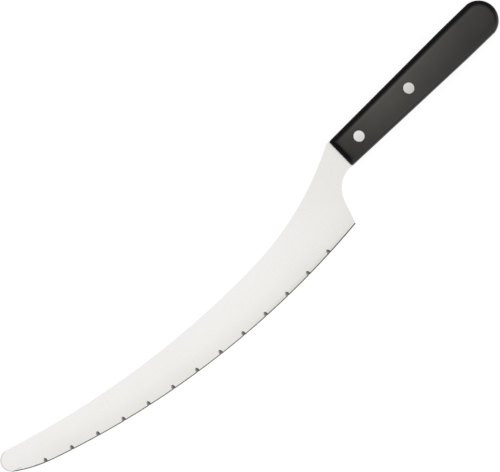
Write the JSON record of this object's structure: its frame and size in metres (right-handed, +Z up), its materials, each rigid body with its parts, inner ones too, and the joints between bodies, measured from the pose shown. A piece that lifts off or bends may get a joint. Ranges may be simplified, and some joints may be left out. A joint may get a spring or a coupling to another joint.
{
  "type": "cake knife",
  "caption": "Cake knife lying flat: long upswept steel blade with ground gullets, its half tang riveted in a slotted black handle.",
  "frame": {"origin": "on the flat underside of the handle, on its axis, midway between the two rivets", "axes": "+X along the handle towards its butt, with the blade's tip at minus X; +Y from the cutting edge towards the spine; +Z up through the face of the blade that the gullets are ground from"},
  "size_m": [0.3733, 0.0475, 0.014],
  "materials": {
    "blade_steel": "fine satin grind, with a bright thin cutting bevel",
    "handle_plastic": "smooth satin black with a fine moulded grain",
    "rivet_steel": "ground flush with the handle, bright rim"
  },
  "bodies": {
    "root": {"blade": "blade_steel", "handle": "handle_plastic", "front_rivet_post": "rivet_steel", "front_rivet_tube": "rivet_steel", "rear_rivet_post": "rivet_steel", "rear_rivet_tube": "rivet_steel"}
  },
  "joints": []
}
